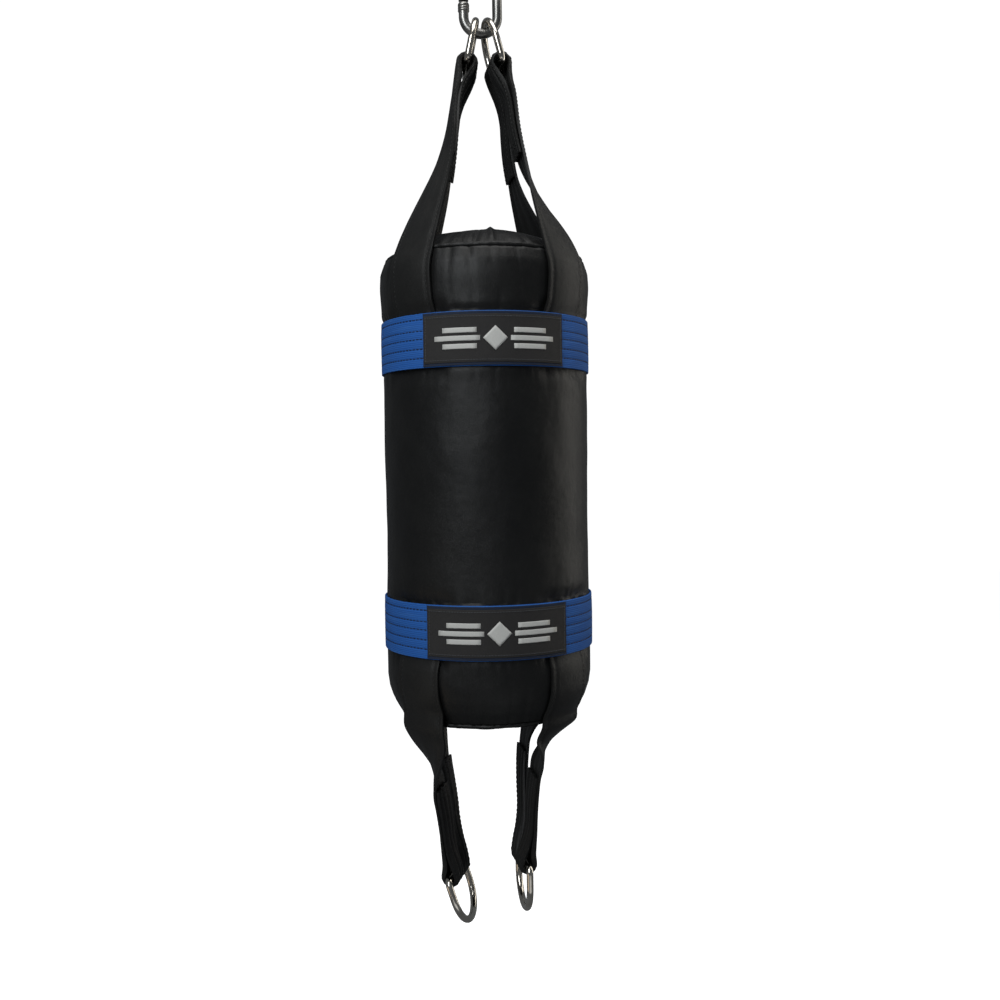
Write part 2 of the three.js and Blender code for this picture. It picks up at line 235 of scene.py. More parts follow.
def vinyl_finish(name, dark, light, roughness, grain, space="Object"):
    """Calendered vinyl on a knit backing: pebbled grain, soft dents and a rubbed, slightly dusty sheen."""
    finish = Finish(name, roughness, specular=0.27)
    place = finish.place(space)
    pebbles = finish.cells(place, grain).step(0.0, 0.22)
    creases = finish.noise(place, grain * 0.4, 4)
    dents = finish.noise(place, 38, 2)
    rubbed = finish.noise(place, 14, 5, 0.65)
    dust = finish.noise(place, 320, 2)
    finish.set(
        Base_Color=finish.blend(rubbed.step(0.36, 0.72) * 0.75 + dust * 0.25, dark, light),
        Roughness=roughness - 0.06 + 0.12 * rubbed + 0.05 * dust,
    )
    finish.bump((dents, 0.9 * MM), (creases, 0.10 * MM), (pebbles, 0.045 * MM))
    return finish.material


def webbing_finish(name, deep, bright, worn):
    """Woven polyester webbing: ribs round the bag, crossed by the weft, with a soft pile."""
    finish = Finish(name, 0.78, specular=0.4)
    place = finish.place("UV")
    along = finish.part(place, 0)
    across = finish.part(place, 1)
    rows = (across * (math.pi / (1.7 * MM))).sine()
    rib = abs(rows)
    weft_phase = along * (2 * math.pi / (1.3 * MM)) + rows.above(0) * math.pi
    weft = weft_phase.sine() * 0.5 + 0.5
    weave = rib * 0.6 + weft * 0.4
    fuzz = finish.noise(place, 2600, 2)
    streaks = finish.noise(finish.stretched(place, (18, 260, 1)), 1, 3)
    shade = finish.blend(weave * 0.75 + fuzz * 0.25, deep, bright)
    finish.set(
        Base_Color=finish.blend(streaks.step(0.45, 0.85) * 0.45, shade, worn),
        Roughness=0.72 + 0.16 * fuzz,
    )
    finish.bump((weave, 0.22 * MM), (fuzz, 0.05 * MM))
    return finish.material


def label_finish(name, dark, light):
    """A damask-woven patch: fine diagonal twill in black with a faint sheen."""
    finish = Finish(name, 0.7, specular=0.3)
    place = finish.place("UV")
    along = finish.part(place, 0)
    across = finish.part(place, 1)
    twill = ((along + across) * (2 * math.pi / (0.75 * MM))).sine() * 0.5 + 0.5
    pick = (across * (2 * math.pi / (0.5 * MM))).sine() * 0.5 + 0.5
    fuzz = finish.noise(place, 1800, 3)
    finish.set(
        Base_Color=finish.blend(twill * 0.5 + fuzz * 0.5, dark, light),
        Roughness=0.62 + 0.2 * fuzz,
    )
    finish.bump((twill, 0.09 * MM), (pick, 0.05 * MM), (fuzz, 0.04 * MM))
    return finish.material


def thread_finish(name, dark, light):
    finish = Finish(name, 0.55, specular=0.35)
    place = finish.place()
    lay = finish.noise(place, 2400, 2)
    finish.set(Base_Color=finish.blend(lay, dark, light), Roughness=0.47 + 0.16 * lay)
    finish.bump((lay, 0.12 * MM))
    return finish.material


def metal_finish(name, dark, light, roughness, wear):
    """Drawn wire: a smooth plate with cloudy spots, fine scratches and shallow pits."""
    finish = Finish(name, roughness, metallic=1.0)
    place = finish.place()
    clouds = finish.noise(place, 70, 4, 0.6)
    scratches = finish.noise(finish.stretched(place, (900, 900, 90)), 1, 2)
    pits = finish.cells(place, 520, "F1").step(0.0, 0.12)
    finish.set(
        Base_Color=finish.blend(clouds.step(0.3, 0.7), dark, light),
        Roughness=roughness + wear * (clouds - 0.4) + wear * 0.5 * scratches.step(0.5, 0.9),
    )
    finish.bump((scratches, 0.012 * MM), (pits, wear * 0.12 * MM))
    return finish.material


def foam_finish():
    finish = Finish("closed_cell_foam", 0.85, specular=0.2)
    place = finish.place()
    bubbles = finish.cells(place, 700, "F1")
    finish.set(Base_Color=finish.blend(bubbles, (0.05, 0.055, 0.06), (0.16, 0.17, 0.18)))
    finish.bump((bubbles, 0.4 * MM))
    return finish.material


def rag_finish():
    finish = Finish("textile_offcuts", 0.95, specular=0.1)
    place = finish.place()
    patches = finish.cells(place, 45, "F1")
    lint = finish.noise(place, 400, 4)
    finish.set(Base_Color=finish.blend(patches * 0.7 + lint * 0.3, (0.12, 0.1, 0.09), (0.5, 0.47, 0.42)))
    finish.bump((patches, 2 * MM), (lint, 0.6 * MM))
    return finish.material


SKIN_VINYL = vinyl_finish("bag_vinyl", (0.0052, 0.0054, 0.0056), (0.0105, 0.0106, 0.0104), 0.40, 900)
STRAP_VINYL = vinyl_finish(
    "strap_vinyl", (0.0085, 0.0086, 0.0086), (0.0170, 0.0168, 0.0160), 0.45, 1100, "UV")
BLUE_WEBBING = webbing_finish("blue_webbing", (0.006, 0.055, 0.24), (0.018, 0.14, 0.52), (0.05, 0.17, 0.45))
LABEL_CLOTH = label_finish("label_cloth", (0.014, 0.0135, 0.0135), (0.038, 0.036, 0.036))
NAVY_TAPE = label_finish("navy_tape", (0.008, 0.012, 0.024), (0.022, 0.034, 0.068))
MARK_THREAD = thread_finish("mark_thread", (0.42, 0.42, 0.40), (0.72, 0.72, 0.69))
BORDER_THREAD = thread_finish("border_thread", (0.03, 0.032, 0.036), (0.075, 0.078, 0.085))
BLACK_THREAD = thread_finish("black_thread", (0.006, 0.006, 0.006), (0.02, 0.02, 0.019))
NAVY_THREAD = thread_finish("navy_thread", (0.004, 0.007, 0.018), (0.008, 0.016, 0.042))
NICKEL = metal_finish("nickel_plate", (0.54, 0.50, 0.44), (0.73, 0.70, 0.64), 0.13, 0.10)
STEEL = metal_finish("zinc_steel", (0.18, 0.18, 0.175), (0.32, 0.315, 0.30), 0.33, 0.16)
FOAM = foam_finish()
RAGS = rag_finish()


# ---- Making pieces -----------------------------------------------------------------------------------


def finish_piece(name, mesh_or_bm, material):
    if isinstance(mesh_or_bm, bmesh.types.BMesh):
        mesh = bpy.data.meshes.new(name)
        mesh_or_bm.to_mesh(mesh)
        mesh_or_bm.free()
    else:
        mesh = mesh_or_bm
        mesh.name = name
    mesh.materials.clear()
    mesh.materials.append(material)
    for face in mesh.polygons:
        face.use_smooth = True
    piece = bpy.data.objects.new(name, mesh)
    bpy.context.collection.objects.link(piece)
    return piece


def bake_modifiers(piece):
    """Turns the piece's modifiers into plain mesh."""
    graph = bpy.context.evaluated_depsgraph_get()
    mesh = bpy.data.meshes.new_from_object(piece.evaluated_get(graph))
    piece.modifiers.clear()
    piece.data = mesh
    for face in mesh.polygons:
        face.use_smooth = True
    return piece


def cloth_sheet(name, surface, size, steps, thickness, material):
    """A sheet from a grid, laid by surface(u, v) with u and v from -1 to 1, thickened both ways from it."""
    bm = bmesh.new()
    bmesh.ops.create_grid(bm, x_segments=steps[0], y_segments=steps[1], size=1, calc_uvs=True)
    uvs = bm.loops.layers.uv.verify()
    for face in bm.faces:
        for loop in face.loops:
            u, v, _ = loop.vert.co
            loop[uvs].uv = (u * size[0] / 2, v * size[1] / 2)
    for vert in bm.verts:
        vert.co = surface(vert.co.x, vert.co.y)
    bmesh.ops.recalc_face_normals(bm, faces=bm.faces)
    piece = finish_piece(name, bm, material)
    solidify = piece.modifiers.new("thickness", "SOLIDIFY")
    solidify.thickness = thickness
    solidify.offset = 0
    bevel = piece.modifiers.new("edge", "BEVEL")
    bevel.width = thickness * 0.3
    bevel.segments = 3
    bevel.limit_method = "ANGLE"
    bevel.angle_limit = math.radians(50)
    return bake_modifiers(piece)


def turned(profile, steps, closed=True):
    """A bmesh spun about the Z axis from (radius, z) points."""
    bm = bmesh.new()
    verts = [bm.verts.new((radius, 0, z)) for radius, z in profile]
    edges = [bm.edges.new(pair) for pair in zip(verts, verts[1:])]
    if closed:
        edges.append(bm.edges.new((verts[-1], verts[0])))
    bmesh.ops.spin(
        bm, geom=verts + edges, cent=(0, 0, 0), axis=UP, dvec=(0, 0, 0),
        angle=2 * math.pi, steps=steps, use_merge=True,
    )
    bmesh.ops.remove_doubles(bm, verts=bm.verts, dist=0.01 * MM)
    bmesh.ops.recalc_face_normals(bm, faces=bm.faces)
    return bm


def wire_mesh(points, radius, closed=False):
    """A round wire along points, with flat ends unless it closes on itself."""
    curve = bpy.data.curves.new("wire", "CURVE")
    curve.dimensions = "3D"
    curve.bevel_depth = radius
    curve.bevel_resolution = 6
    curve.use_fill_caps = not closed
    spline = curve.splines.new("POLY")
    spline.points.add(len(points) - 1)
    for target, point in zip(spline.points, points):
        target.co = (*point, 1)
    spline.use_cyclic_u = closed
    holder = bpy.data.objects.new("wire", curve)
    bpy.context.collection.objects.link(holder)
    graph = bpy.context.evaluated_depsgraph_get()
    mesh = bpy.data.meshes.new_from_object(holder.evaluated_get(graph))
    bpy.data.objects.remove(holder)
    bpy.data.curves.remove(curve)
    return mesh


def one_stitch():
    """A thread's short bulge, one unit long, wide and high each way."""
    bm = bmesh.new()
    bmesh.ops.create_uvsphere(bm, u_segments=6, v_segments=4, radius=1)
    mesh = bpy.data.meshes.new("stitch")
    bm.to_mesh(mesh)
    bm.free()
    return mesh


STITCH = one_stitch()


def stitches(name, places, material, thread=THREAD, length=STITCH_LENGTH):
    """Short raised stitches. Each place is (point, direction, outward)."""
    bm = bmesh.new()
    for point, direction, outward in places:
        side = outward.cross(direction).normalized()
        turn = Matrix((side * thread, outward * thread * 0.8, direction * (length / 2))).transposed()
        add_copy(bm, STITCH, Matrix.Translation(point) @ turn.to_4x4())
    return finish_piece(name, bm, material)


def add_copy(bm, mesh, matrix):
    """Adds a placed copy of a mesh, which is quicker than an operator on the whole piece."""
    copy = mesh.copy()
    copy.transform(matrix)
    bm.from_mesh(copy)
    bpy.data.meshes.remove(copy)


def arc(center, across, up, radius, start, end, count):
    """Points on an arc, with the angles in degrees from across towards up."""
    angles = [math.radians(start + (end - start) * i / count) for i in range(count + 1)]
    return [center + radius * (math.cos(a) * across + math.sin(a) * up) for a in angles]


def smoothstep(low, high, x):
    t = min(1.0, max(0.0, (x - low) / (high - low)))
    return t * t * (3 - 2 * t)


# ---- The stuffed skin --------------------------------------------------------------------------------

side_low, side_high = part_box("shell_side_panel")
TOP_SEAM, BOTTOM_SEAM = side_high.z, side_low.z
UPPER_BAND = [corner.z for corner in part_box("upper_band")]
LOWER_BAND = [corner.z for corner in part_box("lower_band")]
CROWN_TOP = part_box("shell_top_cap")[1].z
CROWN_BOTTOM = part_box("shell_bottom_cap")[0].z
BAND_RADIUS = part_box("upper_band")[1].x
TOP_RIM = 96.5 * MM
BOTTOM_RIM = 86 * MM
SKIN_STEPS = 288


def skin_profile():
    """The side panel's outer radius at each height that the frame gives, from the top down."""
    widest = {}
    for vert in frame["nodes"]["shell_side_panel"].data.vertices:
        height = round(vert.co.z, 4)
        widest[height] = max(widest.get(height, 0), vert.co.xy.length)
    return sorted(widest.items(), reverse=True)


PROFILE = skin_profile()
HEIGHTS = np.array([height for height, _ in PROFILE])[::-1]
RADII = np.array([radius for _, radius in PROFILE])[::-1]


def from_bands(z):
    """How far above or below the nearer band a height is, and 0 inside one."""
    return max(0.0, min(max(low - z, z - high) for low, high in (UPPER_BAND, LOWER_BAND)))


FREE = [i for i, z in enumerate(HEIGHTS) if from_bands(z) > 4 * MM]


def base_radius(z):
    """The frame's radius, with the corners between its rings rounded off."""
    spread = 3.5 * MM
    samples = [float(np.interp(z + spread * k, HEIGHTS, RADII)) for k in (-1, -0.5, 0, 0.5, 1)]
    return sum(samples) / len(samples)


def crease(angle, z, count, drift, width, seed):
    """1 in the middle of a narrow, wandering fold and 0 away from it; folds run down the bag."""
    sample = noise.noise(Vector((count * math.cos(angle), count * math.sin(angle), z * drift + seed)))
    return max(0.0, 1 - abs(sample) / width)


def from_leg(angle):
    """How far round the bag a place is from the middle of the nearest leg."""
    gaps = [(math.degrees(angle) - bearing + 180) % 360 - 180 for bearing in STRAP_BEARINGS.values()]
    return math.radians(min(abs(gap) for gap in gaps)) * BAND_RADIUS


def free_radius(z):
    """The skin where no leg holds it: it swells right up to the bands, and fills them."""
    radius = float(np.interp(z, HEIGHTS[FREE], RADII[FREE]))
    return min(radius, BAND_RADIUS - 2.7 * MM + 3.5 * MM * smoothstep(0, 12 * MM, from_bands(z)))


def skin_radius(angle, z):
    offset = from_leg(angle)
    free = smoothstep(STRAP_WIDTH / 2, STRAP_WIDTH / 2 + 20 * MM, offset)
    radius = base_radius(z) * (1 - free) + free_radius(z) * free
    away = from_bands(z)
    if not LOWER_BAND[1] < z < UPPER_BAND[0]:
        pressed = 1 - smoothstep(STRAP_WIDTH / 2 - 3 * MM, STRAP_WIDTH / 2 + 5 * MM, offset)
        radius -= 1.2 * MM * pressed * smoothstep(0, 12 * MM, away)
    from_top = max(0, TOP_SEAM - z)
    from_bottom = max(0, z - BOTTOM_SEAM)
    radius -= 1.9 * MM * math.exp(-from_top / (17 * MM)) * crease(angle, z, 5.5, 5, 0.17, 3.1)
    radius -= 0.9 * MM * math.exp(-from_top / (7 * MM)) * crease(angle, z, 15, 6, 0.30, 1.3)
    radius -= 1.9 * MM * math.exp(-from_bottom / (17 * MM)) * crease(angle, z, 6.5, 6, 0.18, 8.4)
    radius -= 0.9 * MM * math.exp(-from_bottom / (6 * MM)) * crease(angle, z, 14, 6, 0.30, 4.6)
    radius -= 1.3 * MM * math.exp(-away / (9 * MM)) * crease(angle, z, 8, 8, 0.20, 5.7) * (away > 0)
    x, y = radius * math.cos(angle), radius * math.sin(angle)
    radius += 0.9 * MM * noise.noise(Vector((x, y, z)) * 16)
    radius += 0.35 * MM * noise.noise(Vector((x, y, z * 0.6)) * 55)
    return radius


def crown_height(angle, share, seam, peak, ridge):
    """The crown's surface over a share of its radius, gathered at the rim, with a raised seam across it."""
    rise = peak - seam
    height = seam + rise * (1 - share ** 3) ** 0.8
    way = math.copysign(1, rise)
    gathered = smoothstep(0.45, 0.9, share) * (1 - smoothstep(0.97, 1.0, share))
    height -= way * 2.8 * MM * gathered * crease(angle, 0, 4.5, 1, 0.20, 12.5)
    height -= way * 1.2 * MM * gathered * crease(angle, share, 11, 2, 0.25, 9.5)
    x, y = share * math.cos(angle), share * math.sin(angle)
    height += way * 1.6 * MM * noise.noise(Vector((x, y, seam)) * 3)
    seam_rise = math.exp(-(((x * BAND_RADIUS - ridge) / (3 * MM)) ** 2))
    return height + way * 2.6 * MM * seam_rise * (1 - smoothstep(0.8, 0.95, share))


def spread_heights(low, high, fine, coarse):
    """Heights from high to low, close together near both ends."""
    heights = [high]
    while heights[-1] > low:
        edge = min(high - heights[-1], heights[-1] - low)
        heights.append(heights[-1] - (fine + (coarse - fine) * smoothstep(0, 40 * MM, edge)))
    heights[-1] = low
    return heights


def make_skin():
    shares = [i / 26 for i in range(27)]
    column = [(TOP_RIM * s, 0) for s in shares[:-1]]
    stops = [TOP_SEAM, UPPER_BAND[1], UPPER_BAND[0], LOWER_BAND[1], LOWER_BAND[0], BOTTOM_SEAM]
    side = []
    for high, low in zip(stops, stops[1:]):
        side += spread_heights(low, high, 2.2 * MM, 4.5 * MM)[:-1]
    side.append(BOTTOM_SEAM)
    column += [(BAND_RADIUS, z) for z in side]
    column += [(BOTTOM_RIM * s, -1) for s in reversed(shares[:-1])]
    bm = turned(column, SKIN_STEPS, closed=False)
    for vert in bm.verts:
        angle = math.atan2(vert.co.y, vert.co.x)
        radius = vert.co.xy.length
        z = vert.co.z
        if z > -0.001:
            vert.co.z = crown_height(angle, radius / TOP_RIM, TOP_SEAM - 1 * MM, CROWN_TOP - 2 * MM, 4 * MM)
        elif z < -0.999:
            peak = CROWN_BOTTOM + 2 * MM
            vert.co.z = crown_height(angle, radius / BOTTOM_RIM, BOTTOM_SEAM + 1 * MM, peak, -3 * MM)
        else:
            full = skin_radius(angle, z)
            vert.co.xy = Vector((math.cos(angle), math.sin(angle))) * full
    bmesh.ops.recalc_face_normals(bm, faces=bm.faces)
    skin = finish_piece("vinyl_skin", bm, SKIN_VINYL)
    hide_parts("shell_side_panel", "shell_top_cap", "shell_bottom_cap")
    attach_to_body(skin, "bag")


def make_piping(name, node, seam_z, skin_at):
    """A corded seam: a thin roll of vinyl, nipped where the pleats run under it."""
    low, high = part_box(node)
    radius = (high.z - low.z) / 2 + 0.3 * MM
    middle = (high.z + low.z) / 2
    turns = [math.radians(a) for a in range(0, 360, 30)]
    centre = high.x - radius
    bm = turned([(centre + math.cos(a) * radius, middle + math.sin(a) * radius) for a in turns], 256)
    for vert in bm.verts:
        angle = math.atan2(vert.co.y, vert.co.x)
        nip = 0.8 * MM * crease(angle, skin_at, 14, 1, 0.3, 2.2) + 0.5 * MM * noise.noise(vert.co * 30)
        vert.co.xy *= 1 - nip / vert.co.xy.length
        vert.co.z += 0.7 * MM * noise.noise(Vector((math.cos(angle), math.sin(angle), seam_z)) * 4)
    piece = finish_piece(name, bm, SKIN_VINYL)
    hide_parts(node)
    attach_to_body(piece, "bag")


# ---- Bands, labels and their stitching ---------------------------------------------------------------


def round_bag(arc_length, z, radius):
    """A point on the bag, by its distance round from the middle of the front."""
    angle = arc_length / BAND_RADIUS
    return Vector((radius * math.sin(angle), -radius * math.cos(angle), z))


def band_wave(arc_length, z, seed):
    return 0.35 * MM * noise.noise(Vector((
        3 * math.sin(arc_length / BAND_RADIUS), 3 * math.cos(arc_length / BAND_RADIUS), z * 30 + seed)))


BAND_ROWS = (0.78, 0.36, 0.06, -0.30, -0.64)


def make_band(name, seed):
    low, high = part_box(name)
    girth = 2 * math.pi * BAND_RADIUS
    height = high.z - low.z
    middle = (high.z + low.z) / 2

    def surface(u, v):
        """Webbing drawn in along each row of stitching, and a little full between them."""
        z = middle + v * height / 2
        pulled = sum(math.exp(-(((v - row) * height / 2 / (1.1 * MM)) ** 2)) for row in BAND_ROWS)
        lift = 0.4 * MM * (1 - v * v) - 0.45 * MM * pulled + band_wave(u * girth / 2, z, seed)
        return round_bag(u * girth / 2, z, BAND_RADIUS - BAND_CLOTH / 2 - 0.2 * MM + lift)

    band = cloth_sheet(f"{name}_webbing", lambda u, v: surface(u * 0.9995, v), (girth, height), (200, 44),
                       BAND_CLOTH, BLUE_WEBBING)
    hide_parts(name)
    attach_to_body(band, "bag")
    places = []
    count = int(girth / STITCH_PITCH)
    for row in BAND_ROWS:
        for i in range(count):
            arc_length = girth * (i / count - 0.5)
            point = surface(arc_length * 2 / girth, row)
            ahead = surface((arc_length + 1 * MM) * 2 / girth, row)
            outward = Vector((point.x, point.y, 0)).normalized()
            direction = (ahead - point).normalized()
            places.append((point + outward * (BAND_CLOTH / 2 + 0.05 * MM), direction, outward))
    thread = stitches(f"{name}_stitching", places, NAVY_THREAD, 0.62 * MM, 4.0 * MM)
    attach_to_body(thread, "bag")


def make_label(name, upright):
    """A patch on a wider strip of dark tape, with a mark and a sewn border."""
    low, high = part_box(name)
    width, height = PATCH_WIDTH, high.z - low.z
    middle = (high.z + low.z) / 2
    shift = 3.5 * MM
    radius = BAND_RADIUS + 0.9 * MM

    def surface(u, v, lift=0.0):
        return round_bag(shift + u * width / 2, middle + v * height / 2, radius + lift)

    def ground(u, v):
        edge = 0.35 * MM * smoothstep(0.86, 0.97, abs(v))
        reach = shift + u * (width / 2 + 1 * MM)
        return round_bag(reach, middle + v * 24.6 * MM, BAND_RADIUS + 0.3 * MM + edge)

    patch = cloth_sheet(f"{name}_patch", surface, (width, height), (60, 16), PATCH_CLOTH,
                        LABEL_CLOTH)
    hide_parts(name)
    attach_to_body(patch, "bag")
    backing = cloth_sheet(f"{name}_backing", ground, (width + 2 * MM, TAPE_HEIGHT), (60, 40), 0.6 * MM,
                          NAVY_TAPE)
    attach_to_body(backing, "bag")
    make_mark(name, surface, width, height, upright)
    make_border(name, surface, width, height)


def make_mark(name, surface, width, height, upright):
    """A plain ornament: a diamond between stacked bars that shorten towards the edges."""
    turn = 1 if upright else -1
    bars = []
    for side in (-1, 1):
        for row, (start, end) in enumerate(((17, 49), (14, 57), (17, 49))):
            bars.append((side * start, side * end, (row - 1) * 7.4, 4.6))
    bm = bmesh.new()
    for x0, x1, y, tall in bars:
        add_mark(bm, surface, width, height, PATCH_CLOTH, turn, (x0 + x1) / 2, y, abs(x1 - x0), tall, 0)
    add_mark(bm, surface, width, height, PATCH_CLOTH, turn, 0, 0, 16, 16, 45)
    mark = finish_piece(f"{name}_mark", bm, MARK_THREAD)
    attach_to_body(mark, "bag")


def make_border(name, surface, width, height):
    """A row of stitches round the patch, just inside its edge."""
    places = []
    inset = 2.2 * MM
    loops = [(width - 2 * inset, height / 2 - inset, True), (height - 2 * inset, width / 2 - inset, False)]
    for run, offset, level in loops:
        count = int(run / (2.6 * MM))
        for side in (-1, 1):
            for i in range(count + 1):
                reach = run * (i / count - 0.5)
                u, v = (reach, side * offset) if level else (side * offset, reach)
                point = surface(u * 2 / width, v * 2 / height, PATCH_CLOTH / 2)
                outward = Vector((point.x, point.y, 0)).normalized()
                direction = Vector((-outward.y, outward.x, 0)) if level else UP
                places.append((point, direction, outward))
    border = stitches(f"{name}_border", places, BORDER_THREAD, 0.45 * MM, 2.4 * MM)
    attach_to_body(border, "bag")


def add_mark(bm, surface, width, height, thickness, turn, x, y, long, tall, spin):
    """A satin-stitched shape: a little pillow of thread, laid on the patch."""
    pillow = bmesh.new()
    bmesh.ops.create_cube(pillow, size=1)
    bmesh.ops.subdivide_edges(pillow, edges=pillow.edges, cuts=7, use_grid_fill=True)
    angle = math.radians(spin)
    for vert in pillow.verts:
        u, v, depth = vert.co
        rounded = 1 - 0.35 * max(0, abs(v) * 2 - 0.5)
        mx, my = u * long, v * tall
        px = x + mx * math.cos(angle) - my * math.sin(angle)
        py = y + mx * math.sin(angle) + my * math.cos(angle)
        lift = thickness / 2 + (depth + 0.5) * 0.55 * MM * rounded - 0.15 * MM
        vert.co = surface(turn * px * MM * 2 / width, turn * py * MM * 2 / height, lift)
    bmesh.ops.recalc_face_normals(pillow, faces=pillow.faces)
    mesh = bpy.data.meshes.new("pillow")
    pillow.to_mesh(mesh)
    pillow.free()
    bm.from_mesh(mesh)
    bpy.data.meshes.remove(mesh)


# ---- D-rings -----------------------------------------------------------------------------------------


class Ring:
    """A D-ring's place, read from its CAD node: its bar, which way the bar runs and where its bow points."""

    def __init__(self, node, bow_up):
        self.node = node
        co = np.array([vert.co for vert in frame["nodes"][node].data.vertices])
        centre = co.mean(0)
        normal = Vector(np.linalg.svd(co - centre)[2][2])
        self.normal = normal
        self.along = normal.cross(UP).normalized()
        if self.along.y < 0:
            self.along.negate()
        self.up = self.along.cross(normal).normalized()
        if (self.up.z > 0) != bow_up:
            self.up.negate()
        across = (co - centre) @ np.array(self.along)
        upward = (co - centre) @ np.array(self.up)
        thickness = (co - centre) @ np.array(normal)
        self.wire = float(np.ptp(thickness)) / 2
        self.half = float(np.ptp(across)) / 2 - self.wire
        self.height = float(np.ptp(upward)) - 2 * self.wire
        middle = Vector(centre) + self.along * float(across.max() + across.min()) / 2
        self.bar = middle + self.up * (float(upward.min()) + self.wire)

    def make(self, body):
        corner = 6 * MM
        half, rise = self.half, self.height - self.half
        turn = self.along * (half - corner)
        lift = self.up * corner
        path = arc(self.bar + turn + lift, self.along, self.up, corner, -90, 0, 8)
        path += arc(self.bar + self.up * rise, self.along, self.up, half, 0, 180, 48)
        path += arc(self.bar - turn + lift, self.along, self.up, corner, 180, 270, 8)
        ring = finish_piece(f"{self.node}_wire", wire_mesh(path, self.wire, closed=True), NICKEL)
        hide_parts(self.node)
        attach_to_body(ring, body)


RINGS = {
    "upper_left": Ring("upper_left_d_ring", True),
    "upper_right": Ring("upper_right_d_ring", True),
    "lower_left": Ring("lower_left_d_ring", False),
    "lower_right": Ring("lower_right_d_ring", False),
}


# ---- Legs --------------------------------------------------------------------------------------------

GATHERED = 22.5 * MM
FOLD_LENGTH = 108 * MM
SEAT_LIFT = STRAP_THICKNESS / 2 + 0.5 * MM


class Station:
    """One cross-section of a leg: where it is, which way it runs across, which way its outer face looks."""

    def __init__(self, center, across, normal, width=STRAP_WIDTH, bend=0.0, curl=0.0):
        self.row = np.array([*center, *(Vector(across) * width), *normal, bend, curl])

    @classmethod
    def on_bag(cls, bearing, z, hold=0.0):
        """Flat on the skin, but no nearer to the axis than the hold."""
        angle = math.radians(bearing)
        out = Vector((math.cos(angle), math.sin(angle), 0))
        radius = max(base_radius(z), hold) + SEAT_LIFT
        across = Vector((-out.y, out.x, 0))
        return cls(out * radius + UP * z, across, out, STRAP_WIDTH, 1 / radius)


def spline(rows, samples):
    """A smooth run of rows through the given ones."""
    rows = np.array(rows)
    padded = np.vstack([2 * rows[0] - rows[1], rows, 2 * rows[-1] - rows[-2]])
    gaps = np.linalg.norm(np.diff(padded[:, :3], axis=0), axis=1)
    reach = np.concatenate([[0], np.cumsum(np.sqrt(gaps) + 1e-5)])
    out = []
    for place in np.linspace(reach[1], reach[-2], samples):
        i = min(max(int(np.searchsorted(reach, place, "right")) - 1, 1), len(padded) - 3)
        t = (place - reach[i]) / (reach[i + 1] - reach[i])
        out.append(catmull(padded[i - 1:i + 3], reach[i - 1:i + 3], t))
    return np.array(out)


def catmull(p, knots, t):
    """A point on the curve through four rows, between the middle two."""
    span = knots[2] - knots[1]
    m1 = (p[2] - p[0]) / (knots[2] - knots[0]) * span
    m2 = (p[3] - p[1]) / (knots[3] - knots[1]) * span
    return ((2 * t**3 - 3 * t**2 + 1) * p[1] + (t**3 - 2 * t**2 + t) * m1
            + (-2 * t**3 + 3 * t**2) * p[2] + (t**3 - t**2) * m2)


class Leg:
    """A run of webbing through stations, with a smooth surface to lay cloth and stitches on."""

    hem = 1 - 2 * HEM / STRAP_WIDTH

    def __init__(self, stations, samples, seed):
        self.rows = spline([station.row for station in stations], samples)
        self.seed = seed
        gaps = np.linalg.norm(np.diff(self.rows[:, :3], axis=0), axis=1)
        self.reach = np.concatenate([[0], np.cumsum(gaps)])
        self.length = float(self.reach[-1])

    def at(self, distance):
        return np.array([np.interp(distance, self.reach, column) for column in self.rows.T])

    def frame(self, distance):
        row = self.at(distance)
        across = Vector(row[3:6])
        width = across.length
        across.normalize()
        normal = Vector(row[6:9])
        normal = (normal - across * normal.dot(across)).normalized()
        return Vector(row[:3]), across, normal, width, row[9], row[10]

    def surface(self, u, v, lift=0.0):
        """u runs across and v along, both from -1 to 1."""
        distance = (v + 1) / 2 * self.length
        center, across, normal, width, bend, curl = self.frame(distance)
        reach = u * width / 2
        gathered = 1 - width / STRAP_WIDTH
        ripple = 2.6 * MM * gathered * (1 + math.cos((u + 0.12 * math.sin(self.seed)) * math.pi * 3))
        waver = 0.25 * MM * noise.noise(Vector((u * 1.2, distance * 28, self.seed)))
        seam = 0.8 * MM * math.exp(-((self.hem - abs(u)) * STRAP_WIDTH / 2 / (1.5 * MM)) ** 2)
        lift += ripple + waver - seam * (1 - 1.7 * gathered) - curl * abs(u) ** 2.2
        return center + across * reach + normal * (lift - bend * reach * reach / 2)

    def outward(self, u, v):
        step = 0.004
        du = self.surface(min(u + step, 1), v) - self.surface(max(u - step, -1), v)
        dv = self.surface(u, min(v + step, 1)) - self.surface(u, max(v - step, -1))
        out = du.cross(dv).normalized()
        guide = self.frame((v + 1) / 2 * self.length)[2]
        return out if out.dot(guide) > 0 else -out


LEG_KEYS = 12
FOLD_KEYS = 9


def fold_opening(below, loop_radius):
    """How far apart the layers lie below the bar, and how much their edges curl to meet."""
    belly = 1 - smoothstep(0, 0.455, below / FOLD_LENGTH)
    spread = STRAP_THICKNESS + 0.35 * MM + (2 * loop_radius - STRAP_THICKNESS) * belly
    return spread, 0.46 * (spread - STRAP_THICKNESS) * smoothstep(7 * MM, 17 * MM, below)


def loop_over(pivot, out, away, across, loop_radius):
    """Half a turn of stations round a ring's bar."""
    loop = []
    for i in range(7):
        turn = math.pi * i / 6
        normal = out * math.cos(turn) - away * math.sin(turn)
        loop.append(Station(pivot + normal * (loop_radius + 0.3 * MM), across, normal, GATHERED * 0.93))
    return loop


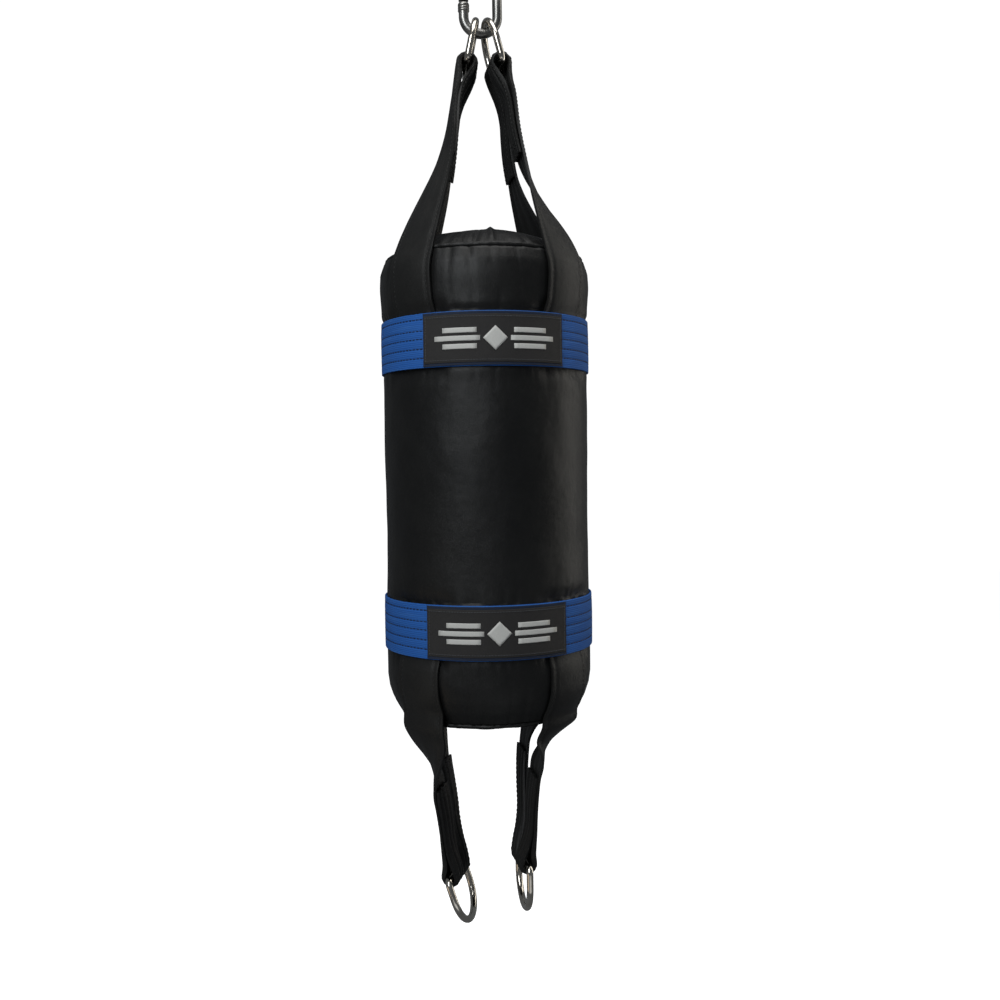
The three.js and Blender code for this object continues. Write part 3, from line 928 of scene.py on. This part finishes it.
def leg_to_ring(start, ring, slot, loop_radius, hang):
    """Stations from a place on the bag to a ring, round its bar, and back down the inner face.

    The pull to the ring sags towards the axis, is drawn in at first by the drop, and has turned to face
    the ring within the twist.
    """
    sag, drop, twist = hang
    start_center, start_normal = Vector(start.row[:3]), Vector(start.row[6:9])
    start_across = Vector(start.row[3:6]).normalized()
    across = ring.along * math.copysign(1, start_across.dot(ring.along))
    pivot = ring.bar + ring.along * slot * (GATHERED / 2 + 0.75 * MM)
    away = start_center - pivot
    away = (away - across * away.dot(across)).normalized()
    out = across.cross(away).normalized()
    if out.dot(start_normal) < 0:
        out.negate()
    arrive = pivot + out * loop_radius
    length = (arrive - start_center).length
    level = Vector((arrive.x - start_center.x, 0, 0))

    def along_leg(t):
        turned_across = start_across.lerp(across, smoothstep(0, twist, t)).normalized()
        normal = start_normal.lerp(out, smoothstep(0, 1, t))
        normal = (normal - turned_across * normal.dot(turned_across)).normalized()
        center = start_center.lerp(arrive, t) + level * (1 - t - (1 - t) ** drop)
        center -= normal * sag * math.sin(math.pi * t) ** 1.6
        return center, turned_across, normal, STRAP_WIDTH + (GATHERED - STRAP_WIDTH) * t

    outer = []
    for i in range(1, LEG_KEYS):
        t = i / LEG_KEYS
        center, turned_across, normal, width = along_leg(t)
        bend = start.row[9] * (1 - t) ** 2
        curl = fold_opening((1 - t) * length, loop_radius)[1]
        outer.append(Station(center, turned_across, normal, width, bend, curl))
    inner = []
    for i in range(1, FOLD_KEYS + 1):
        below = FOLD_LENGTH * i / FOLD_KEYS
        t = 1 - below / length
        center, turned_across, normal, width = along_leg(t)
        spread, curl = fold_opening(below, loop_radius)
        bend = -start.row[9] * (1 - t) ** 2
        inner.append(Station(center - normal * spread, turned_across, -normal, width * 0.94, bend, curl))
    return outer + loop_over(pivot, out, away, across, loop_radius) + inner


def leg_stitches(leg, ends):
    """Two edge rows the whole way, and crossing rows that fasten the folded end."""
    places = []
    count = int(leg.length / STITCH_PITCH)
    for side in (-1, 1):
        for i in range(count):
            v = 2 * (i + 0.5) / count - 1
            u = side * leg.hem
            ahead = leg.surface(u, min(v + 0.002, 1)) - leg.surface(u, max(v - 0.002, -1))
            out = leg.outward(u, v)
            places.append((leg.surface(u, v) + out * (STRAP_THICKNESS / 2), ahead.normalized(), out))
    for from_end in ends:
        v = 1 - 2 * from_end / leg.length
        for i in range(9):
            u = (i - 4) / 5
            ahead = (leg.surface(u + 0.02, v) - leg.surface(u - 0.02, v)).normalized()
            out = leg.outward(u, v)
            places.append((leg.surface(u, v) + out * (STRAP_THICKNESS / 2), ahead, out))
    return places


def make_leg(name, leg, nodes, attach):
    steps = (30, int(leg.length / (3.0 * MM)))
    strap = cloth_sheet(name, leg.surface, (STRAP_WIDTH, leg.length), steps, STRAP_THICKNESS,
                        STRAP_VINYL)
    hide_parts(*nodes)
    attach(strap)
    places = leg_stitches(leg, [4 * MM, 9 * MM, 14 * MM])
    thread = stitches(f"{name}_stitching", places, BLACK_THREAD, 0.55 * MM)
    attach(thread)


UPPER_LOOP = 6.65 * MM
LOWER_LOOP = 5.25 * MM
# How each pair of legs hangs: its sag, its drop and its twist.
UPPER_HANG = {"left": (9 * MM, 1, 1), "right": (13 * MM, 1, 0.58)}
LOWER_HANG = {"left": (0, 2.2, 0.45), "right": (0, 5.5, 0.25)}
# The left tie-down legs stand clear of the skin where it rounds under; the right ones follow it.
LOWER_HOLD = {"left": 96 * MM, "right": 0}


def make_upper_legs():
    for seed, (place, bearing) in enumerate(STRAP_BEARINGS.items()):
        side = place.split("_")[1]
        slot = -1 if place.startswith("front") else 1
        heights = [UPPER_BAND[0] + 4 * MM, UPPER_BAND[0] + 26 * MM, UPPER_BAND[1], UPPER_BAND[1] + 12 * MM,
                   TOP_SEAM - 25 * MM, TOP_SEAM - 12 * MM, TOP_SEAM - 2 * MM]
        seat = [Station.on_bag(bearing, z) for z in heights]
        stations = seat + leg_to_ring(seat[-1], RINGS[f"upper_{side}"], slot, UPPER_LOOP, UPPER_HANG[side])
        leg = Leg(stations, 150, seed * 7.3)
        make_leg(f"hanging_leg_{place}", leg, [f"upper_strap_{place}"], lambda piece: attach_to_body(piece, "bag"))


def make_lower_legs():
    for seed, (place, bearing) in enumerate(STRAP_BEARINGS.items()):
        side = place.split("_")[1]
        slot = -1 if place.startswith("front") else 1
        heights = [LOWER_BAND[1] - 4 * MM, LOWER_BAND[1] - 26 * MM, LOWER_BAND[0], LOWER_BAND[0] - 12 * MM,
                   BOTTOM_SEAM + 30 * MM, BOTTOM_SEAM + 20 * MM, BOTTOM_SEAM + 10 * MM, BOTTOM_SEAM + 2 * MM,
                   BOTTOM_SEAM - 8 * MM]
        seat = [Station.on_bag(bearing, z, LOWER_HOLD[side]) for z in heights]
        stations = seat + leg_to_ring(seat[-1], RINGS[f"lower_{side}"], slot, LOWER_LOOP, LOWER_HANG[side])
        leg = Leg(stations, 140, 40 + seed * 5.1)

        def attach(piece):
            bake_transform(piece)

        make_leg(f"tie_leg_{place}", leg, [f"lower_strap_root_{place}", f"lower_strap_{place}"], attach)


# ---- Carabiner ---------------------------------------------------------------------------------------


def make_carabiner():
    low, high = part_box("carabiner_body")
    bar = 5 * MM
    limb = high.x - bar
    top = Vector((0, 0, high.z - bar - limb))
    bottom = Vector((0, 0, low.z + bar + limb))
    right = Vector((1, 0, 0))
    nose_top = bottom.z + 15 * MM
    path = [Vector((-limb, 0, nose_top - 6 * MM)), Vector((-limb, 0, bottom.z + 4 * MM))]
    path += arc(bottom, right, UP, limb, 180, 360, 36)
    path += arc(top, right, UP, limb, 0, 180, 36)
    bm = bmesh.new()
    bm.from_mesh(wire_mesh(path, bar))
    nose_radius = -low.x - limb
    rim = nose_radius / MM
    grooved = [(0, -11), (4.6, -11), (5, -10.4), (rim, -9.6), (rim, -8.4)]
    for groove in (-8.0, -5.4):
        grooved += [(rim - 0.2, groove), (rim - 0.75, groove + 0.25), (rim - 0.75, groove + 0.55)]
        grooved += [(rim - 0.2, groove + 0.8), (rim, groove + 1.0), (rim, groove + 1.9)]
    grooved += [(rim - 0.1, -2.6), (rim - 0.7, -1.6), (rim - 1.9, -0.7), (rim - 3.6, -0.15), (0, 0)]
    add_turned(bm, grooved, Vector((-limb, 0, nose_top)))
    pivot = Vector(JOINTS["gate_opening"]["pos_m"])
    add_tenon(bm, pivot, top.z)
    body = finish_piece("carabiner_hook", bm, STEEL)
    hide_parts("carabiner_body")
    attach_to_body(body, "carabiner")
    make_gate(pivot, limb)
    make_rivet(pivot)


def add_turned(bm, profile, at):
    part = turned([(radius * MM, z * MM) for radius, z in profile], 48, closed=False)
    holder = bpy.data.meshes.new("turned")
    bmesh.ops.translate(part, verts=part.verts, vec=at)
    part.to_mesh(holder)
    part.free()
    bm.from_mesh(holder)
    bpy.data.meshes.remove(holder)


def add_tenon(bm, pivot, end_z):
    """The flat tongue under the bar's end, round where the rivet crosses it."""
    radius = 4.1 * MM
    eye = bmesh.ops.create_cone(
        bm, cap_ends=True, segments=40, radius1=radius, radius2=radius, depth=4 * MM)["verts"]
    bmesh.ops.rotate(bm, verts=eye, cent=(0, 0, 0), matrix=Matrix.Rotation(math.pi / 2, 3, "X"))
    bmesh.ops.translate(bm, verts=eye, vec=pivot)
    neck = bmesh.ops.create_cube(bm, size=1)["verts"]
    bmesh.ops.scale(bm, verts=neck, vec=(2 * radius, 4 * MM, end_z - pivot.z + 1 * MM))
    bmesh.ops.translate(bm, verts=neck, vec=pivot + UP * (end_z - pivot.z) / 2)


def cutter(bm):
    mesh = bpy.data.meshes.new("cutter")
    bm.to_mesh(mesh)
    bm.free()
    piece = bpy.data.objects.new("cutter", mesh)
    bpy.context.collection.objects.link(piece)
    return piece


def cylinder(radius, depth, at, axis):
    bm = bmesh.new()
    bmesh.ops.create_cone(bm, cap_ends=True, segments=48, radius1=radius, radius2=radius, depth=depth)
    if axis == "Y":
        bmesh.ops.rotate(bm, verts=bm.verts, cent=(0, 0, 0), matrix=Matrix.Rotation(math.pi / 2, 3, "X"))
    bmesh.ops.translate(bm, verts=bm.verts, vec=at)
    return bm


def make_gate(pivot, limb):
    low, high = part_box("carabiner_gate")
    bar = (high.x - low.x) / 2
    ear = high.z - pivot.z
    rod = cylinder(bar, pivot.z - low.z, Vector((-limb, 0, (pivot.z + low.z) / 2)), "Z")
    gate = finish_piece("carabiner_gate_rod", rod, STEEL)
    slot = bmesh.new()
    bmesh.ops.create_cube(slot, size=1)
    bmesh.ops.scale(slot, verts=slot.verts, vec=(4 * bar, 4.8 * MM, 2 * ear + 8 * MM))
    bmesh.ops.translate(slot, verts=slot.verts, vec=pivot + UP * (4 * MM - 0.4 * MM))
    tools = [
        ("UNION", cutter(cylinder(ear, 2 * bar, pivot, "Y"))),
        ("DIFFERENCE", cutter(slot)),
        ("DIFFERENCE", cutter(cylinder(2.2 * MM, 16 * MM, Vector((-limb, 0, pivot.z - 12 * MM)), "Z"))),
    ]
    for operation, tool in tools:
        cut = gate.modifiers.new("cut", "BOOLEAN")
        cut.operation = operation
        cut.object = tool
        cut.solver = "EXACT"
    soften = gate.modifiers.new("soften", "BEVEL")
    soften.width = 0.35 * MM
    soften.segments = 2
    soften.limit_method = "ANGLE"
    bake_modifiers(gate)
    for _, tool in tools:
        bpy.data.objects.remove(tool)
    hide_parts("carabiner_gate")
    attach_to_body(gate, "gate")


def make_rivet(pivot):
    low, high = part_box("gate_rivet")
    half = (high.y - low.y) / 2
    head = (high.x - low.x) / 2
    shank = head / 2
    dome = 1.0 * MM
    lower = [(0, -half), (head * 0.6, -half + 0.15 * MM), (head * 0.95, -half + 0.6 * MM),
             (head, -half + dome), (shank, -half + dome)]
    profile = lower + [(radius, -z) for radius, z in reversed(lower)]
    bm = turned(profile, 32, closed=False)
    bmesh.ops.rotate(bm, verts=bm.verts, cent=(0, 0, 0), matrix=Matrix.Rotation(math.pi / 2, 3, "X"))
    bmesh.ops.translate(bm, verts=bm.verts, vec=pivot)
    rivet = finish_piece("gate_rivet_pin", bm, STEEL)
    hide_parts("gate_rivet")
    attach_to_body(rivet, "carabiner")


# ---- Studio ------------------------------------------------------------------------------------------


def area_light(name, at, aim, size, power, color):
    data = bpy.data.lights.new(name, "AREA")
    data.shape = "RECTANGLE"
    data.size, data.size_y = size
    data.energy = power
    data.color = color
    light = bpy.data.objects.new(name, data)
    light.location = at
    light.rotation_euler = (Vector(aim) - Vector(at)).to_track_quat("-Z", "Y").to_euler()
    bpy.context.collection.objects.link(light)


def make_surround():
    """White paper to the camera and a dim, cool room to everything else."""
    world = bpy.data.worlds.new("studio")
    bpy.context.scene.world = world
    world.use_nodes = True
    tree = world.node_tree
    surround = tree.nodes["Background"]
    surround.inputs["Color"].default_value = (0.9, 0.95, 1.0, 1)
    surround.inputs["Strength"].default_value = 0.12
    paper = tree.nodes.new("ShaderNodeBackground")
    paper.inputs["Strength"].default_value = 1.05
    paper.inputs["Color"].default_value = (1, 1, 1, 1)
    path = tree.nodes.new("ShaderNodeLightPath")
    mix = tree.nodes.new("ShaderNodeMixShader")
    tree.links.new(path.outputs["Is Camera Ray"], mix.inputs[0])
    tree.links.new(surround.outputs[0], mix.inputs[1])
    tree.links.new(paper.outputs[0], mix.inputs[2])
    tree.links.new(mix.outputs[0], tree.nodes["World Output"].inputs["Surface"])


def make_floor():
    bm = bmesh.new()
    bmesh.ops.create_grid(bm, x_segments=8, y_segments=8, size=6)
    bmesh.ops.translate(bm, verts=bm.verts, vec=(0, 0, cad_bounds[0].z - 0.35))
    mesh = bpy.data.meshes.new("floor")
    bm.to_mesh(mesh)
    bm.free()
    floor = bpy.data.objects.new("floor", mesh)
    bpy.context.collection.objects.link(floor)
    pale = Finish("pale_floor", 0.9, specular=0.1)
    pale.shader.inputs["Base Color"].default_value = (0.95, 0.95, 0.95, 1)
    pale.shader.inputs["Emission Color"].default_value = (1, 1, 1, 1)
    pale.shader.inputs["Emission Strength"].default_value = 0.9
    floor.data.materials.append(pale.material)
    floor.visible_glossy = False
    floor.visible_diffuse = False


def make_lights():
    middle = Vector((0, 0, -0.5))
    area_light("key", (-0.9, -1.7, 0.5), middle, (0.7, 1.6), 26, (0.93, 0.97, 1.0))
    area_light("fill_right", (1.6, 0.35, -0.1), middle, (0.5, 2.0), 9, (1.0, 0.96, 0.88))
    area_light("top", (0.1, -0.3, 1.2), middle, (1.2, 1.2), 14, (1.0, 0.99, 0.97))
    area_light("low_front", (0.15, -1.1, -1.5), (0, 0, -0.95), (1.4, 0.5), 1.2, (1.0, 1.0, 1.0))
    area_light("low_warm", (-1.0, -0.4, -1.3), (0, 0, -0.95), (0.5, 0.4), 0.6, (1.0, 0.82, 0.62))
    area_light("high_warm", (-0.5, -1.1, 0.55), (0, 0, -0.08), (0.5, 0.2), 0.7, (1.0, 0.86, 0.66))
    bpy.context.scene.view_settings.view_transform = "Standard"


# ---- Assembly ----------------------------------------------------------------------------------------

make_camera()
make_surround()
make_floor()
make_lights()
make_skin()
make_piping("top_piping", "top_seam_piping", TOP_SEAM, 1.0)
make_piping("bottom_piping", "bottom_seam_piping", BOTTOM_SEAM, 2.0)
make_band("upper_band", 1.0)
make_band("lower_band", 6.0)
make_label("upper_label", True)
make_label("lower_label", False)
RINGS["upper_left"].make("upper_rings")
RINGS["upper_right"].make("upper_rings")
RINGS["lower_left"].make("left_tie_ring")
RINGS["lower_right"].make("right_tie_ring")
make_upper_legs()
make_lower_legs()
make_carabiner()

for node, material in {
    "foam_liner": FOAM, "textile_filling": RAGS, "gate_plunger": STEEL, "gate_spring": STEEL,
}.items():
    frame["nodes"][node].data.materials.clear()
    frame["nodes"][node].data.materials.append(material)
